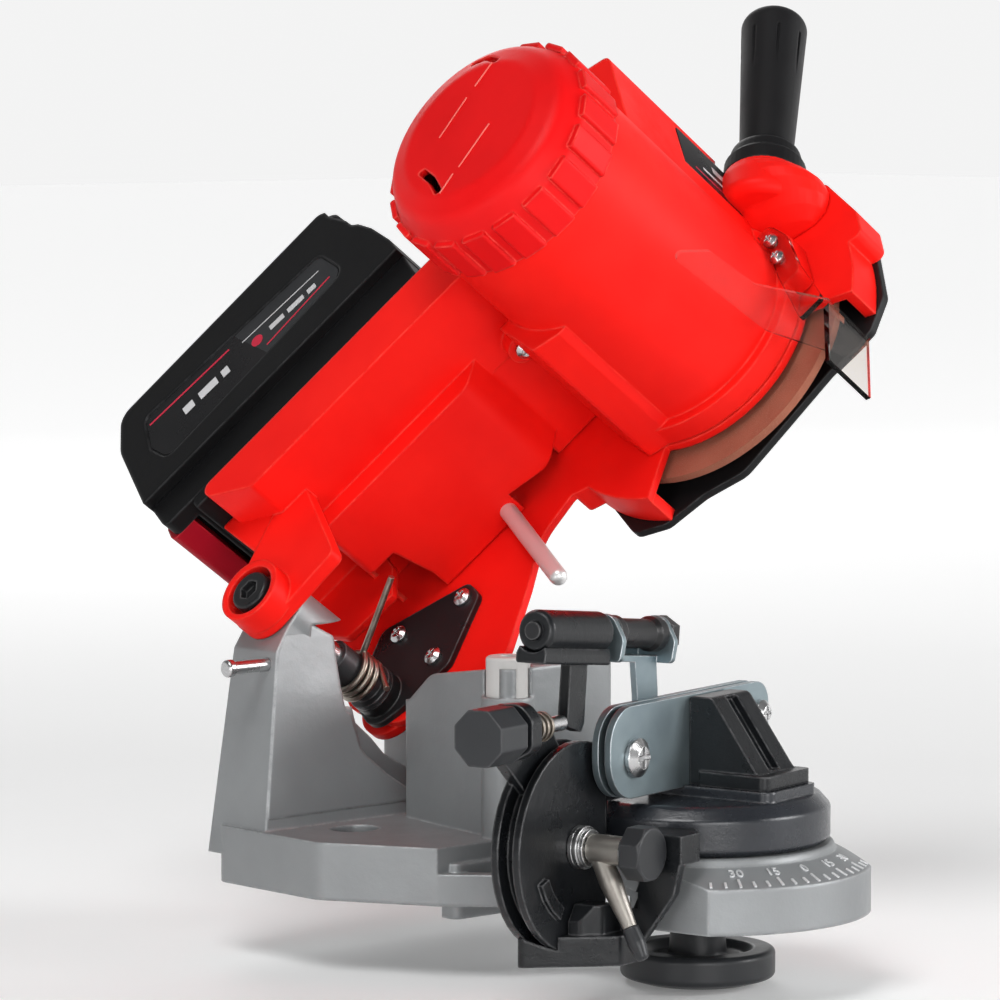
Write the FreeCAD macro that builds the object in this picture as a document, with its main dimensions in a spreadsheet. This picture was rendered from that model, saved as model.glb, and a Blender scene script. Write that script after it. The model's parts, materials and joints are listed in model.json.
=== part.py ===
import FreeCAD
import Part
import Sketcher
import math
import os
from FreeCAD import Placement, Rotation, Vector

os.makedirs("parts", exist_ok=True)
doc = FreeCAD.newDocument("chain_sharpener")

# ---------------------------------------------------------------- dimensions
sheet = doc.addObject("Spreadsheet::Sheet", "dims")
DIMS = [
    ("boltSpacing", 115.0), ("boltHole", 4.25), ("plateHeight", 20.0), ("noseHeight", 15.3),
    ("noseRadius", 59.0), ("towerDepth", 30.0), ("headTilt", 35.0), ("restAngle", 60.0),
    ("viseAngle", 14.0), ("axleRadius", 5.0), ("axleFit", 5.08), ("wheelRadius", 54.0),
    ("wheelThickness", 3.2), ("wheelBore", 11.5), ("barrelRadius", 40.0), ("guardRadius", 66.0),
    ("rimRadius", 44.0), ("handleTilt", 56.6), ("railThickness", 2.5), ("shieldThickness", 2.0),
    ("coverThickness", 3.0), ("webThickness", 3.0),
]
for row, (alias, value) in enumerate(DIMS, start=1):
    sheet.set("A%d" % row, alias)
    sheet.set("B%d" % row, "%g" % value)
    sheet.setAlias("B%d" % row, alias)
doc.recompute()


def dim(alias):
    return float(getattr(sheet, alias))


# ---------------------------------------------------------------- group frames
# bench frame: turntable axis at the origin, x right, y back, z up from the plate underside
BENCH = Placement(Vector(0, -113, 0), Rotation())
VISE = BENCH.multiply(Placement(Vector(0, 0, 0), Rotation(Vector(0, 0, 1), dim("viseAngle"))))

# head frame: x along the arm, y out of its back, z along the tilted pivot toward the motor cap
tilt = math.radians(dim("headTilt"))
lift = math.radians(dim("restAngle"))
motorDir = Vector(-math.cos(tilt), 0, math.sin(tilt))
upDir = Vector(math.sin(tilt), 0, math.cos(tilt))
frontDir = Vector(0, -1, 0)
armDir = frontDir * math.cos(lift) + upDir * math.sin(lift)
backDir = upDir * math.cos(lift) - frontDir * math.sin(lift)
PIVOT = Vector(-12.7, 145.5, 56.9)
HEAD = BENCH.multiply(Placement(PIVOT, Rotation(armDir, backDir, motorDir, "ZXY")))
WHEEL = HEAD.multiply(Placement(Vector(170.4, 18, 0), Rotation()))


def local(group, x, y, z, axis=None, angle=0):
    turn = Rotation(axis, angle) if axis else Rotation()
    return group.multiply(Placement(Vector(x, y, z), turn))


# ---------------------------------------------------------------- helpers
parts = []


def newBody(name, placement):
    body = doc.addObject("PartDesign::Body", name)
    body.Label = name
    body.Placement = placement
    parts.append(body)
    return body


def originItem(body, role):
    return [item for item in body.Origin.OriginFeatures if item.Role == role][0]


def newSketch(body, name, role="XY_Plane", shift=0, offset=None):
    sketch = body.newObject("Sketcher::SketchObject", name)
    sketch.AttachmentSupport = [(originItem(body, role), "")]
    sketch.MapMode = "FlatFace"
    sketch.AttachmentOffset = offset if offset else Placement(Vector(0, 0, shift), Rotation())
    return sketch


def addOutline(sketch, corners):
    # each corner is (x, y) or (x, y, rounding)
    count = len(corners)
    ends = []
    for i in range(count):
        here = Vector(corners[i][0], corners[i][1], 0)
        radius = corners[i][2] if len(corners[i]) > 2 else 0
        before = Vector(corners[i - 1][0], corners[i - 1][1], 0) - here
        after = Vector(corners[(i + 1) % count][0], corners[(i + 1) % count][1], 0) - here
        half = before.getAngle(after) / 2
        if radius <= 0 or half > 1.56:
            ends.append((here, here, None))
            continue
        reach = radius / math.tan(half)
        before.normalize()
        after.normalize()
        start = here + before * reach
        stop = here + after * reach
        middle = here + (before + after).normalize() * (radius / math.sin(half) - radius)
        ends.append((start, stop, Part.Arc(start, middle, stop)))
    for i in range(count):
        if ends[i][2]:
            sketch.addGeometry(ends[i][2], False)
        leave = ends[i][1]
        arrive = ends[(i + 1) % count][0]
        if leave.distanceToPoint(arrive) > 0.02:
            sketch.addGeometry(Part.LineSegment(leave, arrive), False)


def addCircle(sketch, x, y, radius, alias=None):
    index = sketch.addGeometry(Part.Circle(Vector(x, y, 0), Vector(0, 0, 1), radius), False)
    if alias:
        slot = sketch.addConstraint(Sketcher.Constraint("Radius", index, radius))
        sketch.setExpression("Constraints[%d]" % slot, "dims." + alias)
    return index


def along(role, low, high, cut):
    # sketch shift that makes a pad or pocket fill low..high of the plane's own axis
    if role == "XZ_Plane":
        return -low if cut else -high
    return high if cut else low


def sweep(body, name, low, high, corners=None, circles=(), role="XY_Plane", cut=False, alias=None):
    sketch = newSketch(body, name + "Sketch", role, along(role, low, high, cut))
    if corners:
        outlines = corners if isinstance(corners[0][0], tuple) else [corners]
        for points in outlines:
            addOutline(sketch, points)
    for circle in circles:
        addCircle(sketch, *circle)
    feature = body.newObject("PartDesign::Pocket" if cut else "PartDesign::Pad", name)
    feature.Profile = sketch
    feature.Length = high - low
    if alias:
        feature.setExpression("Length", "dims." + alias)
    sketch.Visibility = False
    return feature


def pad(body, name, low, high, corners=None, circles=(), role="XY_Plane", alias=None):
    return sweep(body, name, low, high, corners, circles, role, False, alias)


def pocket(body, name, low, high, corners=None, circles=(), role="XY_Plane", alias=None):
    return sweep(body, name, low, high, corners, circles, role, True, alias)


def turned(body, name, corners, offset=None, cut=False):
    # profile of (radius, height) turned about the sketch's vertical axis
    sketch = newSketch(body, name + "Sketch", "XZ_Plane", 0, offset)
    addOutline(sketch, corners)
    feature = body.newObject("PartDesign::Groove" if cut else "PartDesign::Revolution", name)
    feature.Profile = sketch
    feature.ReferenceAxis = (sketch, ["V_Axis"])
    feature.Angle = 360
    sketch.Visibility = False
    return feature


def ring(body, feature, name, count):
    pattern = body.newObject("PartDesign::PolarPattern", name)
    pattern.Originals = [feature]
    pattern.Axis = (originItem(body, "Z_Axis"), [""])
    pattern.Angle = 360
    pattern.Occurrences = count
    body.Tip = pattern
    return pattern


def ngon(sides, radius, x=0, y=0, turn=0, rounding=0):
    points = []
    for i in range(sides):
        angle = math.radians(turn + 360.0 * i / sides)
        points.append((x + radius * math.cos(angle), y + radius * math.sin(angle), rounding))
    return points


def box(x0, y0, x1, y1, rounding=0):
    return [(x0, y0, rounding), (x1, y0, rounding), (x1, y1, rounding), (x0, y1, rounding)]


def polar(radius, degrees, x=0, y=0):
    angle = math.radians(degrees)
    return (x + radius * math.cos(angle), y + radius * math.sin(angle))


def many(name, placement, solids):
    # identical fasteners share one sub-part as separate solids
    item = doc.addObject("Part::Feature", name)
    item.Label = name
    item.Shape = Part.makeCompound(solids)
    item.Placement = placement
    parts.append(item)
    return item


def panScrew(x, y, z, headRadius, headHeight, shankRadius, shankLength, direction):
    # domed head resting on (x, y, z), shank running along direction
    way = Vector(*direction)
    seat = Vector(x, y, z)
    turn = Rotation(Vector(0, 0, 1), way)
    crown = headRadius * 0.55
    profile = Part.makePolygon([
        Vector(0, 0, shankLength), Vector(shankRadius, 0, shankLength), Vector(shankRadius, 0, 0),
        Vector(headRadius, 0, 0), Vector(headRadius, 0, -headHeight * 0.45),
        Vector(crown, 0, -headHeight), Vector(0, 0, -headHeight), Vector(0, 0, shankLength)])
    solid = Part.Face(profile).revolve(Vector(0, 0, 0), Vector(0, 0, 1), 360)
    cross = Part.makeBox(headRadius * 1.1, headRadius * 0.24, headHeight * 0.4)
    cross.translate(Vector(-headRadius * 0.55, -headRadius * 0.12, -headHeight))
    other = cross.copy()
    other.rotate(Vector(0, 0, 0), Vector(0, 0, 1), 90)
    solid = solid.cut(cross).cut(other)
    solid.Placement = Placement(seat, turn)
    return solid


def pivotPlane(c):
    # sketch plane square to the pivot axis, c along it away from the motor
    turn = Rotation(Vector(1, 0, 0), dim("headTilt"))
    normal = motorDir * -1
    spot = PIVOT + normal * c
    return Placement(Vector(spot.y, spot.z, spot.x), turn)


# ================================================================ base casting
base = newBody("base_casting", BENCH)
half = [(88, 155, 8), (88, 98, 10), (66, 60, 14), (51, 44, 12), (31, 34, 8), (31, -4, 6)]
mirror = [(-x, y, r) for x, y, r in reversed(half)]
pad(base, "plate", 0, 20, half + mirror, alias="plateHeight")
noseR = dim("noseRadius")
edge = math.radians(41)
tip = (0, -noseR / math.cos(edge), noseR)
corner = (noseR * math.sin(edge), -noseR * math.cos(edge))
nose = [(31, 14), (44, -20, 6), corner, tip, (-corner[0], corner[1]), (-44, -20, 6), (-31, 14)]
pad(base, "nosePlate", 0, 15.3, nose, alias="noseHeight")
cone = [(0, 12), (noseR, 12), (noseR, 15.3), (47, 21), (46, 23.5, 1), (36, 23.5), (36, 21), (0, 21)]
turned(base, "scaleCone", cone)
for side in (1, -1):
    trim = [(44.6, -17), (38.7, -44.5), (70, -44.5), (70, 60), (31, 60), (31, 14)]
    trim = [(side * x, y) for x, y in trim]
    pocket(base, "noseTrim" + ("R" if side > 0 else "L"), 11, 24, trim if side > 0 else trim[::-1])
# hinge tower, its top running parallel to the tilted axle
tower = [(-88, 10), (-86, 22), (-75.8, 81.5, 1), (-66.7, 94.7, 1), (-43.8, 78.7), (-43.4, 60), (-40, 44, 8),
         (-29, 35, 10), (-12, 24, 10), (-4, 19), (-4, 10)]
pad(base, "tower", 127, 157, tower, role="XZ_Plane", alias="towerDepth")
draft = [(120, 20.4), (127.2, 20.4), (134, 86), (134, 110), (120, 110)]
pocket(base, "towerDraft", -95, 20, draft, role="YZ_Plane")
crownSketch = newSketch(base, "crownSketch", "YZ_Plane", 0, pivotPlane(-65.9))
addCircle(crownSketch, 0, 0, 12.2)
crown = base.newObject("PartDesign::Pad", "crown")
crown.Profile = crownSketch
crown.Length = 27
# open pedestal in front of the tower
walls = [(-38, 56, 4), (-26.8, 122, 2), (-23.2, 122, 1.5), (-32.6, 61, 3), (9, 61, 3), (9, 131, 2),
         (-8, 131, 2), (-8, 158, 5), (14, 158, 5), (14, 56, 4)]
pad(base, "pedestal", 10, 79.5, walls)
pad(base, "bossColumn", 10, 69, circles=[(-30, 63.5, 9.2)])
pad(base, "stopPad", 10, 40, circles=[(-13, 68, 7)])
crest = [(40, 90), (40, 79.3), (62, 79.2), (104, 73, 14), (119, 62, 6), (128, 62), (131, 60, 3), (158, 58),
         (170, 58), (170, 90)]
pocket(base, "crest", -60, 30, crest, role="YZ_Plane")
pocket(base, "bossSeat", 69, 90, circles=[(-30, 63.5, 8.1)])
pocket(base, "pinRoom", 60, 90, box(-20, 59.2, -6, 64, 2))
# clear the swinging web beside the rear lug, then bore the axle line
clearSketch = newSketch(base, "webRoomSketch", "YZ_Plane", 0, pivotPlane(4.6))
addOutline(clearSketch, box(-22, -24, 26, 30, 4))
webRoom = base.newObject("PartDesign::Pocket", "webRoom")
webRoom.Profile = clearSketch
webRoom.Length = 22
boreSketch = newSketch(base, "axleBoreSketch", "YZ_Plane", 0, pivotPlane(24))
addCircle(boreSketch, 0, 0, dim("axleFit"), "axleFit")
bore = base.newObject("PartDesign::Pocket", "axleBore")
bore.Profile = boreSketch
bore.Length = 120
# underside hollow, bolt bosses, stud boss, bench lip
inside = [(82, 149, 4), (82, 100, 8), (61, 64, 10), (48, 49, 6), (-48, 49, 6), (-61, 64, 10),
          (-82, 100, 8), (-82, 149, 4)]
pocket(base, "underside", 0, 13, inside)
pocket(base, "noseHollow", 0, 9, circles=[(0, 0, 40)])
pad(base, "studBoss", 0, 12, circles=[(0, 0, 15)])
boltBack = 113
for side in (1, -1):
    tag = "R" if side > 0 else "L"
    boltX = side * dim("boltSpacing") / 2
    pad(base, "boltBoss" + tag, 0, 15, circles=[(boltX, boltBack, 13)])
    pocket(base, "boltSeat" + tag, 16, 24, box(boltX - 9, boltBack - 7.5, boltX + 9, boltBack + 7.5, 7.4))
    pocket(base, "boltHole" + tag, -1, 24, circles=[(boltX, boltBack, 4.25, "boltHole")])
for x in (-40, 0, 40):
    pad(base, "rib%d" % (x + 40), 3, 14, box(x - 2, 48, x + 2, 150))
pad(base, "benchLip", -5, 14, box(-60, 57, 60, 66, 3))
pocket(base, "studBore", -1, 26, circles=[(0, 0, 5.1)])
pocket(base, "stopThread", 22, 42, circles=[(-13, 68, 3.1)])
pocket(base, "pinBore", -100, -69.8, circles=[(138, 77, 2.25)], role="YZ_Plane")

# ---------------------------------------------------------------- hardware of the base
axle = newBody("pivot_axle", HEAD)
pad(axle, "rod", -16, 72, circles=[(0, 0, 5.0, "axleRadius")])
pocket(axle, "thread", 50, 80, circles=[(0, 0, 3.1)])

bolt = newBody("pivot_bolt", HEAD)
turned(bolt, "headAndShank", [(0, 52), (3, 52), (3, 74.5), (7.6, 74.5), (7.6, 80.5, 1.2), (0, 80.5)])
pocket(bolt, "hexSocket", 77.5, 82, ngon(6, 4))

washer = newBody("lock_washer", HEAD)
pad(washer, "coil", 72.5, 74.3, circles=[(0, 0, 9.2), (0, 0, 3.3)])
pocket(washer, "split", 72, 76, [(2, -0.6), (10, 0.2), (10, 1.8), (2, 1.0)])

pin = newBody("tower_pin", local(BENCH, -70, 138, 77, Vector(0, 1, 0), -90))
turned(pin, "pin", [(0, 0), (2.2, 0), (2.2, 22.5), (3.1, 22.5), (3.1, 25.4, 1.2), (0, 25.4)])

restBoss = newBody("stop_boss", local(BENCH, -30, 63.5, 69))
turned(restBoss, "boss", [(0, 0), (7.7, 0), (7.7, 14, 1.2), (2.6, 14), (2.6, 11), (0, 11)])

depthScrew = newBody("depth_stop_screw", local(BENCH, -13, 68, 26))
turned(depthScrew, "shank", [(0, 0), (3, 0), (3, 28.5), (0, 28.5)])
pad(depthScrew, "hexHead", 28.5, 32.5, ngon(6, 6.2))
turned(depthScrew, "dome", [(0, 32), (4.8, 32), (4.8, 33.2, 0.6), (0, 33.8)])

depthNut = newBody("depth_stop_nut", local(BENCH, -13, 68, 40.1))
pad(depthNut, "hex", 0, 4.5, ngon(6, 6.2, 0, 0, 15), circles=[(0, 0, 3.08)])

knobFrame = local(BENCH, 0, 0, -25)
knob = newBody("lock_knob", knobFrame)
turned(knob, "wheelBody", [(0, 0), (20, 0, 4), (26.5, 2, 2), (26.5, 11.5, 2), (19, 11.5, 2), (16, 8.5, 2),
                           (10, 8.5, 2), (9, 24.6, 1), (0, 24.6)])
pocket(knob, "thread", 5, 26, circles=[(0, 0, 5.08)])

stud = newBody("lock_stud", knobFrame)
turned(stud, "stud", [(0, 5.5), (5, 5.5), (5, 56), (4.2, 57), (0, 57)])

# ================================================================ motor side of the head
housing = newBody("motor_housing", HEAD)
cx = 170.4
cy = 18.0
armBox = [(2.6, 50.6, 4), (24, 30, 3), (150, 30), (150, 50.6)]
plateau = [(4, 50.6), (24.5, 30.5), (29, 21.5, 2), (102, 21.5, 9), (111, 30.5, 3), (150, 30.5), (150, 50.6)]
ridge = [(132, 50.6), (146, 57, 8), (162, 65, 5), (210, 65, 3), (220, 61, 3), (205, 8), (172, 12), (150, 30)]
pad(housing, "barrel", 12, 110, circles=[(cx, cy, 40.0, "barrelRadius")])
pad(housing, "armBox", 50, 90, armBox)
pad(housing, "plateau", 3.6, 60, plateau)
pad(housing, "ridgeBox", 3.6, 90, ridge)
pad(housing, "barrelFoot", 3.6, 12.5, circles=[(cx, cy, 44.0, "rimRadius")])
pad(housing, "shieldLug", 3.6, 12.5, [(204, -5), (214.4, -6, 3), (220, 12, 3), (218, 24, 3), (204, 24)])
ribBox = [(126, 14), (130, -9, 2), (141, -13, 2), (150, -12), (150, 14)]
pad(housing, "sideRib", 3.6, 73, ribBox)
pad(housing, "screwBoss", 23, 32, circles=[(126, 53, 6)], role="XZ_Plane")
pad(housing, "capRail", 110, 113.5, circles=[(cx, cy, 37.2), (cx, cy, 34.4)])
# ear that carries the raised end of the axle
ear = [(-12.6, -12, 11.5), (31, -8, 3), (36, 31), (20, 33), (-12.6, 13, 11)]
pad(housing, "ear", 66.4, 72.2, ear)
pad(housing, "boltCup", 70, 80, circles=[(0, 0.4, 12.3)])
# hollows
pocket(housing, "motorRoom", 6.5, 114, circles=[(cx, cy, 34.4)])
pocket(housing, "armRoom", 3, 86.8, [(9, 47.4, 3), (27, 33.2, 2), (128, 33.2, 3), (128, 47.4, 3)])
pocket(housing, "plateauRoom", 3, 57, [(27, 36), (32, 24.6, 2), (100, 24.6, 6), (108, 34)])
ridgeHollow = [(168, 62), (207, 62, 2), (215.6, 58, 2), (211, 43), (203, 48), (190, 58), (172, 60.3)]
pocket(housing, "ridgeRoom", 3, 86.8, ridgeHollow)
stair = [(14, 49.5), (27.7, 49.5), (27.4, 31.3), (39.6, 31.3), (43.3, 12.2), (43.3, 0), (14, 0)]
pocket(housing, "stair", 15, 33.1, stair, role="XZ_Plane")
pocket(housing, "footStep", 15, 60, [(2, 48), (26, 48), (26, 0), (2, 0)], role="XZ_Plane")
lipCut = [(82.7, 13.2), (97.9, 10), (112, 12), (112, 0), (82.7, 0)]
pocket(housing, "lipStep", 15, 30.4, lipCut, role="XZ_Plane")
pocket(housing, "earBore", 65, 76, circles=[(0, 0, 5.08, "axleFit")])
pocket(housing, "boltPocket", 72.2, 92, circles=[(0, 0, 9.8)])
pocket(housing, "switchRoom", 39.6, 52.4, [(171.8, 60), (192.2, 60), (192.2, 67), (171.8, 67)])
pocket(housing, "labelRecess", 5, 52, [(223, 60), (218.6, 56.5), (212.2, 35.5), (225, 35)])
pocket(housing, "frontBearingSeat", 3, 7, circles=[(cx, cy, 9)])

mound = Placement(Vector(229.3, 52.7, 11), Rotation(Vector(0, 0, 1), dim("handleTilt") - 90))
roomSketch = newSketch(housing, "swellRoomSketch", "XY_Plane", 0, mound)
addOutline(roomSketch, [(0, -23), (20.4, -23), (20.4, -4), (14, 12), (0, 12)])
room = housing.newObject("PartDesign::Groove", "swellRoom")
room.Profile = roomSketch
room.ReferenceAxis = (roomSketch, ["V_Axis"])
room.Angle = 360

cap = newBody("motor_cap", local(WHEEL, 0, 0, 110))
turned(cap, "shell", [(0, 29), (28, 29, 8), (36.5, 26, 7), (41.2, 17, 5), (41.2, 0.3), (37.5, 0.3),
                      (37.5, 15.5, 4), (33, 23, 4), (24, 26, 3), (0, 26)])
grip = pad(cap, "gripPad", 0.6, 19, box(40.3, -4.7, 42.6, 4.7, 0.9))
ring(cap, grip, "gripPads", 20)
ventLow = [(-24, -14, 1), (-21, -15, 1), (-20, -6), (-21, 2, 1), (-24, 3, 1), (-23, -6)]
pocket(cap, "ventLower", 25, 31, ventLow)
ventHigh = [(21, 18, 1), (24, 16, 1), (21.5, 25, 1), (15, 30, 1), (14, 28, 1), (19, 24)]
pocket(cap, "ventUpper", 25, 31, ventHigh)
turned(cap, "bearingCup", [(8.2, 2), (11.2, 2), (11.2, 27), (8.2, 27)])

many("housing_screws", HEAD, [panScrew(126, 22.9, 53, 3.6, 2.6, 1.8, 8, (0, 1, 0))])

# ================================================================ wheel side of the head
guard = newBody("wheel_guard", HEAD)
web = [(98, 8, 6), (81, 3.6, 20), (66, -12, 16), (45, -31, 8), (30, -27, 6), (-2, -15, 14), (-13, 12, 9),
       (-4, 42, 6), (4, 50.4), (150, 50.4), (150, 8)]
pad(guard, "web", 0, 3, web, alias="webThickness")
pad(guard, "guardDisc", 0, 3, circles=[(cx, cy, 66.0, "guardRadius")])
pad(guard, "guardBand", -12, 3, circles=[(cx, cy, 66.0, "guardRadius")])
leg = [(112, 26), (101, 22, 4), (99, 8, 3), (109, 3, 3), (122, -14, 3), (134, -22, 3), (146, -22), (146, 20)]
pad(guard, "lowerLip", -8, 3, leg)
pad(guard, "pivotHub", -3.2, 0.5, circles=[(0, 0, 13)])
pad(guard, "rearBar", -3, 3, [(40, 50.4), (40, 45), (130, 45), (130, 50.4)])
swellSketch = newSketch(guard, "gripSwellSketch", "XY_Plane", 0, mound)
addOutline(swellSketch, [(0, -22), (18, -22, 4), (16, -9, 8), (13.4, 1.5), (0, 1.5)])
swell = guard.newObject("PartDesign::Revolution", "gripSwell")
swell.Profile = swellSketch
swell.ReferenceAxis = (swellSketch, ["V_Axis"])
swell.Angle = 360
pad(guard, "tab", -12, 3, [(218, 46), (218, 4), (239, -3, 3), (243, 8, 3), (242, 32, 4), (234, 42, 4)])
# room for the wheel, open on the lower front
pocket(guard, "wheelRoom", -14, -0.2, circles=[(cx, cy, 61.5)])
pocket(guard, "swellRoom", -26, -0.2, circles=[(cx, cy, 61.5)])
mouth = [(cx, cy), polar(48, -142, cx, cy), polar(90, -139, cx, cy), (cx - 30, -90), (cx + 60, -80),
         polar(90, -38, cx, cy), polar(48, -38, cx, cy)]
pocket(guard, "mouth", -26, -0.1, mouth)
rimGap = [polar(44.2, a, cx, cy) for a in range(-140, -37, 6)]
rimGap += [polar(80, a, cx, cy) for a in range(-38, -141, -17)]
pocket(guard, "crescent", -26, 4, rimGap)
pocket(guard, "barrelRoom", -1, 4, circles=[(cx, cy, 30)])
pocket(guard, "hubBore", -6, 6, circles=[(0, 0, 5.08, "axleFit")])
pocket(guard, "bracketHoles", -1, 4, circles=[(18.4, 17.9, 1.9), (45.4, 6.9, 1.9), (24.2, -5.4, 1.9)])

cover = newBody("guard_cover", HEAD)
rimLine = [(106, 22, 8), (106, -14, 5), (117, -23, 5), (134, -26, 12), (150, -33, 10), (166, -31, 20),
           (196, -27, 14), (217, -27, 4), (229, -18, 5), (238, 4, 8), (238, 30, 20), (229, 60, 20),
           (205, 79, 24), (170.4, 86, 40), (134, 74, 30), (112, 50, 20)]
pad(cover, "plate", -15.2, -12.2, rimLine, alias="coverThickness")
turned(cover, "hubDome", [(0, -19), (16, -19, 4), (26, -15.4, 3), (26, -13), (0, -13)],
       Placement(Vector(cx, 0, -cy), Rotation()))
pocket(cover, "hubRoom", -17.4, -12, circles=[(cx, cy, 15)])
pocket(cover, "airSlot", -16, -12, box(cx - 2, cy + 32, cx + 2, cy + 52, 1.9))
sideSlots = [box(cx + shift - 2, cy + 30, cx + shift + 2, cy + 50, 1.9) for shift in (-12, 12)]
pocket(cover, "airSlots", -16, -12, sideSlots)
coverSpots = ((112, 14), (232, 14), (200, 77), (140, 74))
coverScrews = [panScrew(a, b, -15.3, 3.4, 2.2, 1.7, 5, (0, 0, 1)) for a, b in coverSpots]
many("cover_screws", HEAD, coverScrews)

handleFrame = HEAD.multiply(mound).multiply(Placement(Vector(0, 1.6, 0), Rotation(Vector(1, 0, 0), -90)))
collar = newBody("handle_collar", handleFrame)
turned(collar, "collar", [(0, 0), (12.6, 0, 1), (12.6, 5, 1.6), (6.5, 5), (6.5, 3), (0, 3)])
handle = newBody("handle_grip", handleFrame)
turned(handle, "gripBody", [(0, 3.1), (6.3, 3.1), (6.3, 5.2), (9.8, 5.2, 1.5), (12.4, 72, 5), (0, 74)])
grooveA = pocket(handle, "gripGroove", 14, 62, box(11.2, -0.5, 13, 0.5))
ring(handle, grooveA, "gripGrooves", 8)

frameBody = newBody("switch_frame", local(HEAD, 182, 65.0, 46, Vector(1, 0, 0), -90))
pad(frameBody, "bezel", 0, 2.4, [box(-13, -9, 13, 9, 2), box(-9.6, -5.6, 9.6, 5.6, 0.8)])
rocker = newBody("switch_rocker", local(HEAD, 182, 65.0, 46, Vector(1, 0, 0), -90))
rockerSide = [(-9.2, 0.4), (9.2, 0.4), (9.2, 5.6, 0.8), (0, 3.4, 12), (-9.2, 3.2, 0.8)]
pad(rocker, "rocker", -5.2, 5.2, rockerSide, role="XZ_Plane")

shieldBracket = newBody("shield_bracket", HEAD)
plateLine = [(203, -27.4, 1), (214, -27.4, 2), (216, -4, 4), (219.5, 12, 3), (217.5, 23, 3),
             (211.2, 23, 1), (211.2, 12, 4), (207.6, 0, 6)]
pad(shieldBracket, "plate", 12.7, 14.9, plateLine)
shield = newBody("chip_shield", HEAD)
shieldTop = [(188, 77, 2), (198.5, 64, 2), (201, 40, 3), (215, 12), (215, -13), (205, -13), (192, 22, 3)]
pad(shield, "topPane", -29.8, -27.8, shieldTop, role="XZ_Plane", alias="shieldThickness")
pad(shield, "frontPane", -13, 12, [(215, -28), (201, -53), (199.3, -52), (212.4, -28)])
shieldSpots = ((214, 15), (211.8, 5.4))
shieldScrews = [panScrew(a, b, 15.0, 2.8, 2.3, 1.6, 6, (0, 0, -1)) for a, b in shieldSpots]
many("shield_screws", HEAD, shieldScrews)

# ---------------------------------------------------------------- spindle
wheel = newBody("grinding_wheel", WHEEL)
sketchW = newSketch(wheel, "discSketch", "XY_Plane", -6)
addCircle(sketchW, 0, 0, 54, "wheelRadius")
addCircle(sketchW, 0, 0, 11.5, "wheelBore")
discW = wheel.newObject("PartDesign::Pad", "disc")
discW.Profile = sketchW
discW.Length = 3.2
discW.setExpression("Length", "dims.wheelThickness")
flangeIn = newBody("wheel_flange_inner", WHEEL)
turned(flangeIn, "flange", [(5.1, -4.4), (11.35, -4.4), (11.35, -2.7), (17, -2.7), (17, -0.9, 0.8),
                            (9, 0.2, 1), (5.1, 0.2)])
flangeOut = newBody("wheel_flange_outer", WHEEL)
turned(flangeOut, "flange", [(5.1, -4.5), (5.1, -8.6), (12, -8.6, 1), (17, -7.6, 0.6), (17, -6.1),
                             (11.3, -6.1), (11.3, -4.5)])
wheelNut = newBody("wheel_nut", WHEEL)
pad(wheelNut, "hex", -13.4, -8.7, ngon(6, 9), circles=[(0, 0, 5.05)])
shaft = newBody("motor_shaft", WHEEL)
turned(shaft, "shaft", [(0, -15), (5, -15), (5, 20), (7, 20), (7, 108), (4, 108), (4, 122), (0, 122)])
rotor = newBody("motor_rotor", WHEEL)
pad(rotor, "stack", 32, 82, circles=[(0, 0, 19.5), (0, 0, 7.05)])
slotR = pocket(rotor, "slot", 31, 83, box(15.5, -1, 21, 1))
ring(rotor, slotR, "slots", 12)
stator = newBody("motor_stator", WHEEL)
pad(stator, "ring", 30, 84, circles=[(0, 0, 33.8), (0, 0, 21.5)])
slotS = pocket(stator, "channel", 29, 85, box(31.5, -4, 36, 4))
ring(stator, slotS, "channels", 4)


def tube(inner, outer, low, high):
    outside = Part.makeCylinder(outer, high - low, Vector(0, 0, low))
    return outside.cut(Part.makeCylinder(inner, high - low, Vector(0, 0, low)))


bearings = []
shieldDepth = 0.7
for low, high, inner, outer in ((3.8, 11.8, 5.06, 8.9), (113, 120, 4.06, 8.1)):
    race = tube(inner, outer, low, high)
    for z in (low, high - shieldDepth):
        race = race.cut(tube(inner + 1.1, outer - 1.2, z, z + shieldDepth))
    bearings.append(race)
many("shaft_bearings", WHEEL, bearings)

# ---------------------------------------------------------------- hinge hardware on the head
bracket = newBody("hinge_bracket", HEAD)
lug = [(-10, -10, 8), (4, -13, 6), (27, -14, 4), (51, 2, 4), (50.5, 11, 4), (14, 27, 5), (-10, 10, 8)]
lugSpots = ((18.4, 17.9), (45.4, 6.9), (24.2, -5.4))
pad(bracket, "lug", 3.1, 5.6, lug, circles=[(0, 0, 5.1)] + [(a, b, 1.7) for a, b in lugSpots])
pad(bracket, "hub", 5.5, 10.5, circles=[(0, 0, 9), (0, 0, 5.1)])
lugScrews = [panScrew(a, b, 5.7, 3.5, 2.3, 1.6, 5, (0, 0, -1)) for a, b in lugSpots]
many("bracket_screws", HEAD, lugScrews)

bush = newBody("spring_bush", HEAD)
turned(bush, "bush", [(5.1, 10.7), (9, 10.7), (9, 12.6), (6.6, 13.2), (6.6, 34), (5.1, 34)])
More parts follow.
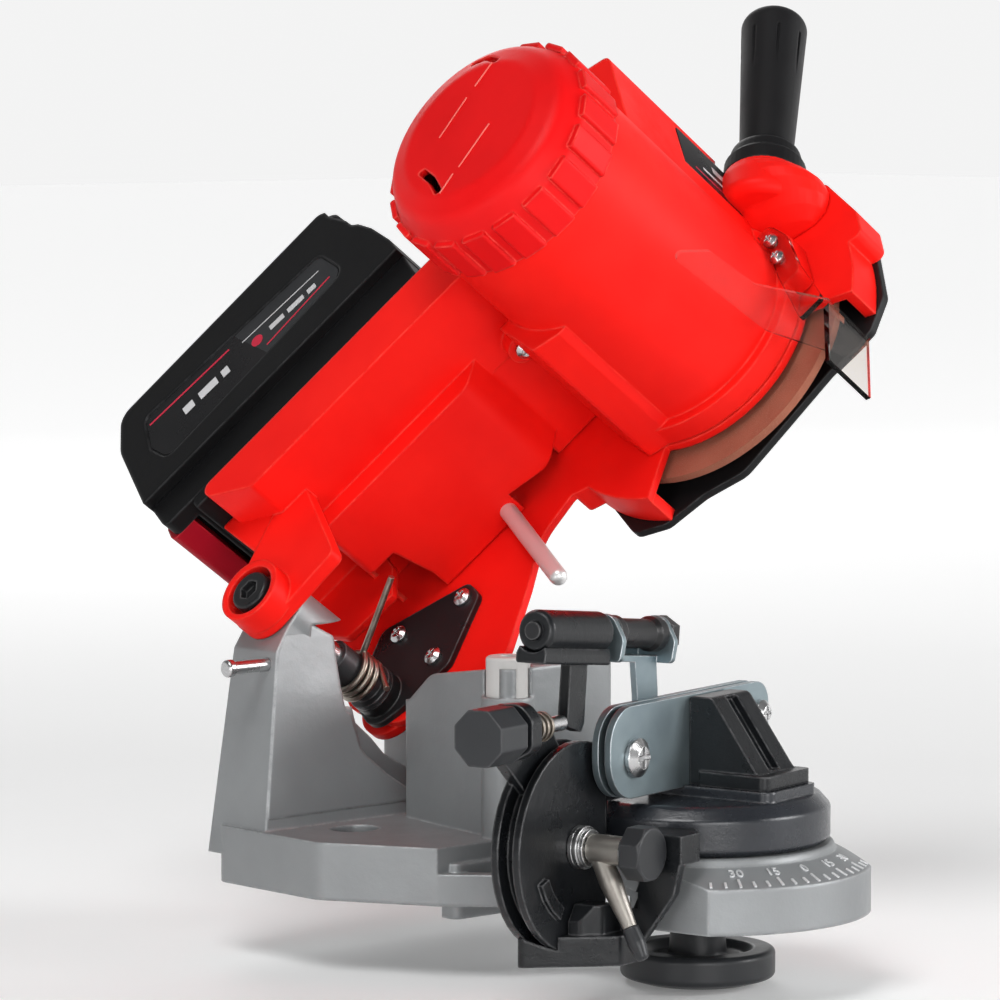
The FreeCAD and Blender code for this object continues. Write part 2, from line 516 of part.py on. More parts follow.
# wound spring of round wire: three coils, one leg up the arm, one leg down to the saddle
pitch = 3.1
wireR = 1.15
helix = Part.makeHelix(pitch, pitch * 3, 8.2)
helix.translate(Vector(0, 0, 16))
section = Part.Wire(Part.makeCircle(wireR, helix.Vertexes[0].Point, Vector(0, 1, 0.06)))
coils = Part.Wire(helix).makePipeShell([section], True, True)
legUp = Part.makeCylinder(wireR, 33, Vector(8.2, 0, 25.3), Vector(28, -3, 17))
legDown = Part.makeCylinder(wireR, 13, Vector(8.2, 0, 16), Vector(-0.2, -1, 0))
spring = doc.addObject("Part::Feature", "torsion_spring")
spring.Label = "torsion_spring"
spring.Shape = coils.fuse(legUp).fuse(legDown)
spring.Placement = HEAD
parts.append(spring)

stop = newBody("stop_pin", local(HEAD, 78.2, 33.4, 8, Vector(1, 0, 0), 90))
turned(stop, "pin", [(0, -9), (3.3, -9), (3.3, 59.6), (3.3, 62.9, 3.2), (0, 62.9)])
pad(stop, "hexSeat", -5.4, -1, ngon(6, 6))

# ================================================================ battery pack
railBody = newBody("battery_rail", HEAD)
pad(railBody, "rail", 14, 86, [(2, 50.8), (132, 50.8), (132, 53.4, 1), (120, 56, 1), (4, 56, 1), (2, 54, 1)])
pad(railBody, "contacts", 44, 56, [(119, 55), (131, 55, 1), (131, 62, 2), (119, 62, 1)])

caseLow = newBody("battery_case_lower", HEAD)
lowSide = [(-11.8, 56.3, 3), (116.6, 56.3, 3), (117.2, 70), (-12.2, 70)]
pad(caseLow, "shoe", 19.5, 86, lowSide)
pocket(caseLow, "buttonSlot", 27, 79, [(-14, 56), (-0.6, 56), (-0.6, 66.5, 2), (-14, 66.5)])
caseUp = newBody("battery_case_upper", HEAD)
upSide = [(-12.6, 70.1), (117.4, 70.1), (117.6, 77, 3), (114, 96.3, 4), (110, 101.3, 4), (107.6, 117.7, 5),
          (102.6, 121.8, 5), (-2, 120.6, 8), (-9.5, 104, 14)]
pad(caseUp, "cells", 15, 90.4, upSide)
pocket(caseUp, "labelLeft", 89.7, 92, [(0.6, 92, 5), (5, 109, 4), (94, 103, 4), (98, 84, 5), (4, 80, 5)])
cutaway = [(105, 117), (112, 99), (116, 88), (124, 88), (124, 124), (105, 124)]
pocket(caseUp, "notch", 88, 92, cutaway)
button = newBody("battery_button", HEAD)
pad(button, "button", 27.4, 78.6, [(-14.2, 57, 2.5), (-3.2, 57), (-3.2, 66, 1.5), (-13.2, 66, 2.5)])
gripLines = [box(-15, 58.9, -13.2, 59.9), box(-15, 61.1, -13.1, 62.1), box(-15, 63.3, -12.9, 64.3)]
pocket(button, "gripLines", 36, 70, gripLines)

# ================================================================ chain vise
disc = newBody("vise_turntable", VISE)
turned(disc, "disc", [(4.9, 23.7), (43, 23.7, 1.5), (45, 25.5, 1), (45, 36, 2), (41, 40.5, 4), (4.9, 40.5)])
pad(disc, "lug", 36, 47, [(24, -12, 3), (41, -10, 4), (41, 10, 4), (24, 12, 3)])
pad(disc, "pillarFoot", 36, 44, box(-16, -38, 16, 12, 4))
pocket(disc, "railSlot", 43.1, 50, box(-20, -4, 44, 4))

block = newBody("vise_block", VISE)
wedge = [(-3.9, 44.1), (-3.9, 74, 1.5), (-12.7, 74, 3), (-30, 50, 4), (-36.5, 44.1, 1)]
pad(block, "gusset", -12, 12, wedge, role="YZ_Plane")
groove = [(-16.5, 72), (-13.4, 74), (-10.7, 72), (-27, 49.2), (-33, 50)]
pocket(block, "frontGroove", -3.5, 3.5, groove, role="YZ_Plane")
pad(block, "footRim", 44.1, 49, [(-15, -36, 3), (15, -36, 3), (14, -8, 2), (-14, -8, 2)])

railLine = [(-61, 43.4, 14), (-61, 74.4, 13), (40, 74.4, 8), (40, 52, 3), (26, 43.4, 4), (-30, 43.4, 4)]
fixed = newBody("rail_fixed", VISE)
railHoles = [(-46, 57, 3.1), (34, 63.5, 2.6)]
pad(fixed, "plate", -3.7, -1.2, railLine, railHoles, "XZ_Plane", "railThickness")
moving = newBody("rail_moving", VISE)
pad(moving, "plate", 1.2, 3.7, railLine, railHoles, "XZ_Plane", "railThickness")
pad(moving, "backFoot", 3.6, 12, [(-22, 44.2, 2), (22, 44.2, 2), (22, 56, 3), (-22, 56, 3)],
    role="XZ_Plane")

railScrews = [panScrew(-46, -3.8, 57, 6.6, 3.6, 3, 13, (0, 1, 0)),
              panScrew(34, -3.8, 63.5, 4.4, 3.4, 2.5, 12, (0, 1, 0))]
many("rail_screws", VISE, railScrews)

# flip-down chain stop carried on the moving plate, its axis falling slightly to the right
STOP = local(VISE, -52, 5, 98.8, Vector(0, 1, 0), 6.2)
stopBracket = newBody("stop_bracket", STOP)
strap = [(23.5, -32, 2), (34.5, -33, 2), (34.5, -20, 6), (32.5, -10, 4), (32.5, -7.4), (18.5, -7.4),
         (21.5, -20, 8)]
pad(stopBracket, "strap", -1.1, 1.2, strap, role="XZ_Plane")
pad(stopBracket, "yokeBack", 6.4, 8.4, box(0, -9.6, 34.5, 2, 2), role="XZ_Plane")
pad(stopBracket, "yokeFloor", -1.1, 8.4, box(0, -9.6, 34.5, -7.4), role="XZ_Plane")
earShape = [(-7, -9.6, 2), (7.8, -9.6), (7.8, 4, 5), (-2, 7.6, 6), (-8, -2, 4)]
pad(stopBracket, "earLeft", 0, 2.2, earShape, role="YZ_Plane")
pad(stopBracket, "earRight", 32.3, 34.5, earShape, role="YZ_Plane")
pocket(stopBracket, "pinBore", -2, 42, circles=[(0, 0, 3.08)], role="YZ_Plane")

PINLINE = STOP.multiply(Placement(Vector(0, 0, 0), Rotation(Vector(0, 1, 0), 90)))
stopBolt = newBody("stop_bolt", PINLINE)
turned(stopBolt, "shank", [(0, -43), (3, -43), (3, 34.6), (0, 34.6)])
pad(stopBolt, "hexHead", 34.6, 38.9, ngon(6, 6.4))
turned(stopBolt, "headDome", [(0, 38.5), (4.8, 38.5), (4.8, 39.5), (0, 40.1)])
bushing = newBody("stop_bushing", PINLINE)
turned(bushing, "sleeve", [(3.1, 2.5), (6, 2.5), (6, 6), (5, 8), (5, 26), (6, 28), (6, 32), (3.1, 32)])
sleeve = newBody("stop_sleeve", PINLINE)
turned(sleeve, "sleeve", [(3.1, -41.5), (6, -41.5), (7, -40), (7, -5), (5.6, -2.4), (3.1, -2.4)])
pawl = newBody("stop_pawl", STOP)
strip = [(-5.5, -10.6, 1), (6, -10.6, 1), (6, -7.4), (4.6, -4.6), (-4.6, -4.6), (-5.5, -7.4)]
pad(pawl, "strip", -42.5, -3.5, strip, role="YZ_Plane")
pawlLeg = [(-21.5, -31, 2), (-13, -33, 1), (-11.5, -30, 1), (-11.5, -9), (-21.5, -9)]
pad(pawl, "leg", -1.9, 2.1, pawlLeg, role="XZ_Plane")
tooth = [(-14, -32.4), (-10.6, -31.6, 0.5), (-10.6, -26, 1), (-14, -22)]
pad(pawl, "tooth", -0.8, 0.8, tooth, role="XZ_Plane")
pocket(pawl, "sleeveRoom", -44, -2, circles=[(0, 0, 7.1)], role="YZ_Plane")

# feed screw that moves the stop along the chain
feedFrame = local(VISE, 0, 5, 71.5, Vector(0, 1, 0), 90)
feedScrew = newBody("feed_screw", feedFrame)
turned(feedScrew, "rod", [(0, -119), (2.6, -119), (2.6, -77.6), (0, -77.6)])
feedKnob = newBody("feed_knob", feedFrame)
pad(feedKnob, "grip", -126, -111, ngon(8, 9.9, 0, 0, 22.5, 1.2))
turned(feedKnob, "hub", [(2.64, -111.5), (5.6, -111.5), (5.6, -107), (2.64, -107)])
pocket(feedKnob, "screwRoom", -119.2, -106, circles=[(0, 0, 2.66)])
feedSpring = newBody("feed_spring", feedFrame)
coilStart = -100.4
coilStep = 2.6
coilWire = 1.1
for n in range(5):
    low = coilStart + n * coilStep
    pad(feedSpring, "coil%d" % n, low, low + coilWire, circles=[(0, 0, 5.0), (0, 0, 3.4)])
pad(feedSpring, "lead", coilStart, coilStart + 11.5, box(3.5, -0.6, 4.9, 0.6))

# side bracket with the round clamp drum behind it
qx = -67
qz = 29
drum = newBody("quadrant_drum", VISE)
frontArc = [polar(35, a, qx, qz) for a in range(64, 297, 8)] + [(-50, 2, 3), (-50, 56, 3)]
coreArc = [polar(29.5, a, qx, qz) for a in range(60, 301, 8)] + [(-51, 8), (-51, 50)]
pad(drum, "flangeFront", 5.2, 8, frontArc, role="XZ_Plane")
pad(drum, "flangeRear", 13.6, 16.4, frontArc, role="XZ_Plane")
pad(drum, "core", 7, 14.5, coreArc, role="XZ_Plane")
railArm = [(-54, 30, 3), (-36, 30, 3), (-36, 42, 3), (-54, 46, 3)]
pad(drum, "railArm", 8.2, 12.4, railArm, role="XZ_Plane")
lugArm = [(-106.6, 64, 3), (-84, 44), (-60, 50), (-78, 72, 5), (-98, 79.5, 6), (-106.6, 78, 3)]
pad(drum, "lugArm", 10.5, 15, lugArm, role="XZ_Plane")
feedLug = [(-3, 66, 4), (5, 61.5, 6), (14.5, 64), (14.5, 79.5, 5), (2, 81, 6), (-3, 76, 4)]
pad(drum, "feedLug", -106.6, -101, feedLug, role="YZ_Plane")
rib = [polar(26, a, qx, qz) for a in (202, 215, 228, 240)]
rib += [polar(21.5, a, qx, qz) for a in (240, 228, 215, 202)]
pad(drum, "faceRib", 3.4, 5.4, rib, role="XZ_Plane")
pocket(drum, "discRoom", 20, 41.2, circles=[(0, 0, 45.4)])
pocket(drum, "hubBore", 4, 18, circles=[(qx, qz, 4.08)], role="XZ_Plane")
pocket(drum, "feedBore", -108, -74, circles=[(5, 71.5, 2.68)], role="YZ_Plane")
pocket(drum, "pawlRoom", -76, -58, [(-4, 64.5), (8.2, 64.5), (8.2, 82), (-4, 82)], role="YZ_Plane")

arm = newBody("quadrant_arm", VISE)
pad(arm, "foot", -9.4, 0.6, [(-90, 16.4, 2), (-86, 12, 3), (-66, -11.4, 3), (-54.2, -11.4, 2), (-54.2, 16.4)])
pad(arm, "footRise", 0, 10.5, [(-74, 4.6), (-73.5, 0, 3), (-68, -5.5, 3), (-56, -5.5, 2), (-56, 4.6)])
limb = [(16.4, -8.6), (-9, -8.6, 3), (-26, 14, 6), (-29, 27, 3), (-28, 34, 3), (-11, 34, 3),
        (-13, 18, 8), (-3, -3, 6), (16.4, -3)]
pad(arm, "limb", -57.3, -53.9, limb, role="YZ_Plane")
pad(arm, "discTie", 24.4, 34, [(-57.3, -29), (-46, -29), (-36, -20), (-42, -11), (-57.3, -11)])
pad(arm, "drumTie", 8.4, 13.2, [(-80, -7), (-55, -7), (-55, 20), (-80, 8)], role="XZ_Plane")
bevel = [(-76, 2), (-70, 10.6), (-62, 10.6), (-54, 7), (-54, 14), (-76, 14)]
pocket(arm, "riseBevel", -12, 4.7, bevel, role="XZ_Plane")
pocket(arm, "drumRoom", 4.8, 16.8, circles=[(qx, qz, 35.1)], role="XZ_Plane")
pocket(arm, "discRoom", 22, 42, circles=[(0, 0, 45.05)])

clampFrame = local(VISE, qx, 0, qz, Vector(1, 0, 0), 90)
clampBolt = newBody("clamp_bolt", clampFrame)
turned(clampBolt, "rod", [(0, -20), (6.6, -20), (6.6, -16.6), (4, -16.6), (4, 21), (0, 21)])
washerPlate = 1.6
washerSpots = ((-5.0, 7.2), (-3.2, 7.2), (-1.4, 6.2), (14.2, 6.2))
many("clamp_washers", clampFrame, [tube(4.1, outer, low, low + washerPlate) for low, outer in washerSpots])
clampKnob = newBody("clamp_knob", clampFrame)
pad(clampKnob, "grip", 16.2, 24, ngon(8, 9.4, 0, 0, 22.5))
turned(clampKnob, "faceBevel", [(8.2, 24.2), (10.5, 24.2), (10.5, 22)], cut=True)
pocket(clampKnob, "boltRoom", 11, 21.5, circles=[(0, 0, 4.06)])

leverFrame = local(clampFrame, 0, 0, 0, Vector(0, 0, 1), 90)
leverLean = Placement(Vector(0, 2.2, 0), Rotation(Vector(0, 0, 1), 62.5))
lever = newBody("clamp_lever", leverFrame)
blade = [(0, 0), (3.2, 0), (3.9, 12, 12), (2.4, 28.2), (1.3, 28.2), (1.3, 33), (0, 33)]
turned(lever, "blade", blade, leverLean)
pad(lever, "hub", 0.6, 13.6, circles=[(0, 0, 4.9)])
pocket(lever, "boltBore", -3, 20, circles=[(0, 0, 4.1)])
tipBody = newBody("lever_tip", leverFrame)
tipLine = [(1.34, 28.4), (2.8, 28.4), (3.1, 34, 6), (2, 39.6, 1.2), (0, 40), (0, 33.4), (1.34, 33.4)]
turned(tipBody, "tip", tipLine, leverLean)

# ================================================================ check and write
doc.recompute()
faults = []
for item in doc.Objects:
    if "Invalid" in item.State or "Error" in item.State:
        faults.append("%s %s" % (item.Name, item.State))
for item in parts:
    if item.Shape.isNull() or not item.Shape.isValid() or not item.Shape.Solids:
        faults.append("%s has no sound shape" % item.Label)
if faults:
    raise RuntimeError("; ".join(faults))
for item in parts:
    item.Shape.exportStep("parts/%s.step" % item.Label)
    size = item.Shape.BoundBox
    print("%-22s %8.0f mm3  %d solids  x %.1f..%.1f y %.1f..%.1f z %.1f..%.1f" % (
        item.Label, item.Shape.Volume, len(item.Shape.Solids),
        size.XMin, size.XMax, size.YMin, size.YMax, size.ZMin, size.ZMax))
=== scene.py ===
import json
import math
import bpy
import bmesh
from mathutils import Matrix, Vector


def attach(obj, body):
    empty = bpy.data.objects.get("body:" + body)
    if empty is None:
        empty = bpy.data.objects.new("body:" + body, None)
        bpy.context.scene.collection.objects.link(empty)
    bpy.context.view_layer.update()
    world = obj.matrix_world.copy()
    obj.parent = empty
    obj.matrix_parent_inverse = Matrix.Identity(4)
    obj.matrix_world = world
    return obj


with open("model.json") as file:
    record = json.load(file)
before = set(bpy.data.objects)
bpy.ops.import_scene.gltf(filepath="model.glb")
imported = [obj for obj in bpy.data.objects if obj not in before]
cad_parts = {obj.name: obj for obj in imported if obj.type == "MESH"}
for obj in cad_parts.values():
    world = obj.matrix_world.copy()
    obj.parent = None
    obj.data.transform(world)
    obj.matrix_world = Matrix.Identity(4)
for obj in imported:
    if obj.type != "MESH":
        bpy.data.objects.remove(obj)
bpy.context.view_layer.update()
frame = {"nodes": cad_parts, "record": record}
nodes = frame["nodes"]
print("frame loaded:", len(nodes), "nodes")

# how the head hangs on the base, in degrees and metres
headLook = {"tilt": 35, "lift": 60, "pivot": (-0.0127, 0.0325, 0.0569)}
turntableSpot = (0, -0.113, 0)
tilt = math.radians(headLook["tilt"])
lift = math.radians(headLook["lift"])
motorWay = Vector((-math.cos(tilt), 0, math.sin(tilt)))
upWay = Vector((math.sin(tilt), 0, math.cos(tilt)))
armWay = Vector((0, -1, 0)) * math.cos(lift) + upWay * math.sin(lift)
backWay = upWay * math.cos(lift) + Vector((0, 1, 0)) * math.sin(lift)

# pieces are drawn in millimetres, of the head (x along the arm, y out of its back, z toward the cap)
# or of the base (x right, y back, z up from under the turntable)
mmScale = Matrix.Scale(0.001, 4)
headTurn = Matrix((armWay, backWay, motorWay)).transposed().to_4x4()
headMm = Matrix.Translation(headLook["pivot"]) @ headTurn @ mmScale
baseMm = Matrix.Translation(turntableSpot) @ mmScale

# camera
cameraLook = {"place": (-1.1801, -1.3226, 0.2872), "along": (0.6666, 0.7403, -0.0872), "lens": 180,
              "sensor": 36, "near": 0.05, "far": 50}
cameraData = bpy.data.cameras.new("viewCamera")
cameraData.lens = cameraLook["lens"]
cameraData.sensor_width = cameraLook["sensor"]
cameraData.clip_start = cameraLook["near"]
cameraData.clip_end = cameraLook["far"]
camera = bpy.data.objects.new("viewCamera", cameraData)
bpy.context.scene.collection.objects.link(camera)
camera.location = cameraLook["place"]
camera.rotation_mode = "QUATERNION"
camera.rotation_quaternion = Vector(cameraLook["along"]).to_track_quat("-Z", "Y")
bpy.context.scene.camera = camera
bpy.context.scene.view_settings.view_transform = "Standard"
print("camera placed")


# node helpers for the finishes
def link(tree, source, target):
    tree.links.new(source, target)


def noiseNode(tree, coords, scale, grain, stretch=None):
    # grain is the noise's detail and roughness, stretch draws it out along the axes
    if stretch:
        mapping = tree.nodes.new("ShaderNodeMapping")
        mapping.inputs["Scale"].default_value = stretch
        link(tree, coords, mapping.inputs["Vector"])
        coords = mapping.outputs["Vector"]
    noise = tree.nodes.new("ShaderNodeTexNoise")
    noise.inputs["Scale"].default_value = scale
    noise.inputs["Detail"].default_value, noise.inputs["Roughness"].default_value = grain
    link(tree, coords, noise.inputs["Vector"])
    return noise.outputs["Fac"]


def mapped(tree, value, span, outSpan=(0.0, 1.0)):
    ranged = tree.nodes.new("ShaderNodeMapRange")
    ranged.inputs["From Min"].default_value, ranged.inputs["From Max"].default_value = span
    ranged.inputs["To Min"].default_value, ranged.inputs["To Max"].default_value = outSpan
    link(tree, value, ranged.inputs["Value"])
    return ranged.outputs["Result"]


def product(tree, first, second):
    node = tree.nodes.new("ShaderNodeMath")
    node.operation = "MULTIPLY"
    link(tree, first, node.inputs[0])
    link(tree, second, node.inputs[1])
    return node.outputs[0]


def dotNode(tree, first):
    node = tree.nodes.new("ShaderNodeVectorMath")
    node.operation = "DOT_PRODUCT"
    link(tree, first, node.inputs[0])
    return node


def mixColour(tree, factor, first, second):
    mix = tree.nodes.new("ShaderNodeMix")
    mix.data_type = "RGBA"
    link(tree, factor, mix.inputs[0])
    for socket, value in ((mix.inputs[6], first), (mix.inputs[7], second)):
        if isinstance(value, tuple):
            socket.default_value = (*value, 1)
        else:
            link(tree, value, socket)
    return mix.outputs[2]


def bevelNode(tree, radius, samples):
    bevel = tree.nodes.new("ShaderNodeBevel")
    bevel.samples = samples
    bevel.inputs["Radius"].default_value = radius
    return bevel.outputs["Normal"]


def bumpNode(tree, height, distance, strength, normal=None):
    bump = tree.nodes.new("ShaderNodeBump")
    bump.inputs["Distance"].default_value = distance
    bump.inputs["Strength"].default_value = strength
    link(tree, height, bump.inputs["Height"])
    if normal is not None:
        link(tree, normal, bump.inputs["Normal"])
    return bump.outputs["Normal"]


# what every finish starts from: scales are per metre, lengths in metres
plainLook = {"metallic": 0.0, "specular": 0.5, "broad": 22, "fine": 900, "stretch": None, "smudge": 60,
             "depth": 0.00008, "strength": 0.35, "round": 0.0008, "edgeWidth": 0.0012, "bevelSamples": 8,
             "castStrength": 0.5, "fleckSpan": (0.56, 0.64), "sheenRoughness": 0.5}
# detail and roughness of each noise, and the stretch of values that most of a noise lies in
grains = {"broad": (3, 0.55), "fine": (4, 0.6), "fleck": (2, 0.5), "edge": (4, 0.7), "smudge": (4, 0.65),
          "cast": (3, 0.55)}
noiseSpan = (0.3, 0.7)
# lighter edges, partly wear and partly painted highlight: how far the rounded normal has to lean from the
# true one, and how patchy the lightening is
wearAndHighlightLook = {"samples": 6, "lean": (0.99, 0.86), "patches": 160, "patchSpan": (0.38, 0.62),
            "patchLevels": (0.15, 1.0)}


def wearAndHighlightMask(tree, coords, width):
    # 1 on an edge lightened by wear and painted highlight, 0 on a flat
    patches = noiseNode(tree, coords, wearAndHighlightLook["patches"], grains["edge"])
    lean = dotNode(tree, bevelNode(tree, width, wearAndHighlightLook["samples"]))
    link(tree, tree.nodes.new("ShaderNodeNewGeometry").outputs["Normal"], lean.inputs[1])
    edgeFactor = mapped(tree, lean.outputs["Value"], wearAndHighlightLook["lean"])
    return product(tree, edgeFactor, mapped(tree, patches, wearAndHighlightLook["patchSpan"], wearAndHighlightLook["patchLevels"]))


def newFinish(name, own):
    look = {**plainLook, **own}
    material = bpy.data.materials.new(name)
    material.use_nodes = True
    tree = material.node_tree
    shader = tree.nodes["Principled BSDF"]
    coords = tree.nodes.new("ShaderNodeTexCoord").outputs["Object"]
    shader.inputs["Metallic"].default_value = look["metallic"]
    shader.inputs["Specular IOR Level"].default_value = look["specular"]
    if "sheen" in look:
        shader.inputs["Sheen Weight"].default_value = look["sheen"]
        shader.inputs["Sheen Roughness"].default_value = look["sheenRoughness"]
    # colour: two shades in broad clouds, then flecks, then lighter edges that are partly wear and partly
    # painted highlight
    broad = noiseNode(tree, coords, look["broad"], grains["broad"])
    colour = mixColour(tree, mapped(tree, broad, noiseSpan), look["colour"], look["shade"])
    if "fleck" in look:
        spots = noiseNode(tree, coords, look["fleckScale"], grains["fleck"])
        colour = mixColour(tree, mapped(tree, spots, look["fleckSpan"]), colour, look["fleck"])
    if "edge" in look:
        colour = mixColour(tree, wearAndHighlightMask(tree, coords, look["edgeWidth"]), colour, look["edge"])
    link(tree, colour, shader.inputs["Base Color"])
    smudge = noiseNode(tree, coords, look["smudge"], grains["smudge"])
    link(tree, mapped(tree, smudge, noiseSpan, look["rough"]), shader.inputs["Roughness"])
    # relief: rounded corners, then the casting's skin, then the fine grain
    normal = bevelNode(tree, look["round"], look["bevelSamples"])
    if "cast" in look:
        skin = noiseNode(tree, coords, look["cast"], grains["cast"])
        normal = bumpNode(tree, skin, look["castDepth"], look["castStrength"], normal)
    fine = noiseNode(tree, coords, look["fine"], grains["fine"], look["stretch"])
    link(tree, bumpNode(tree, fine, look["depth"], look["strength"], normal), shader.inputs["Normal"])
    return material


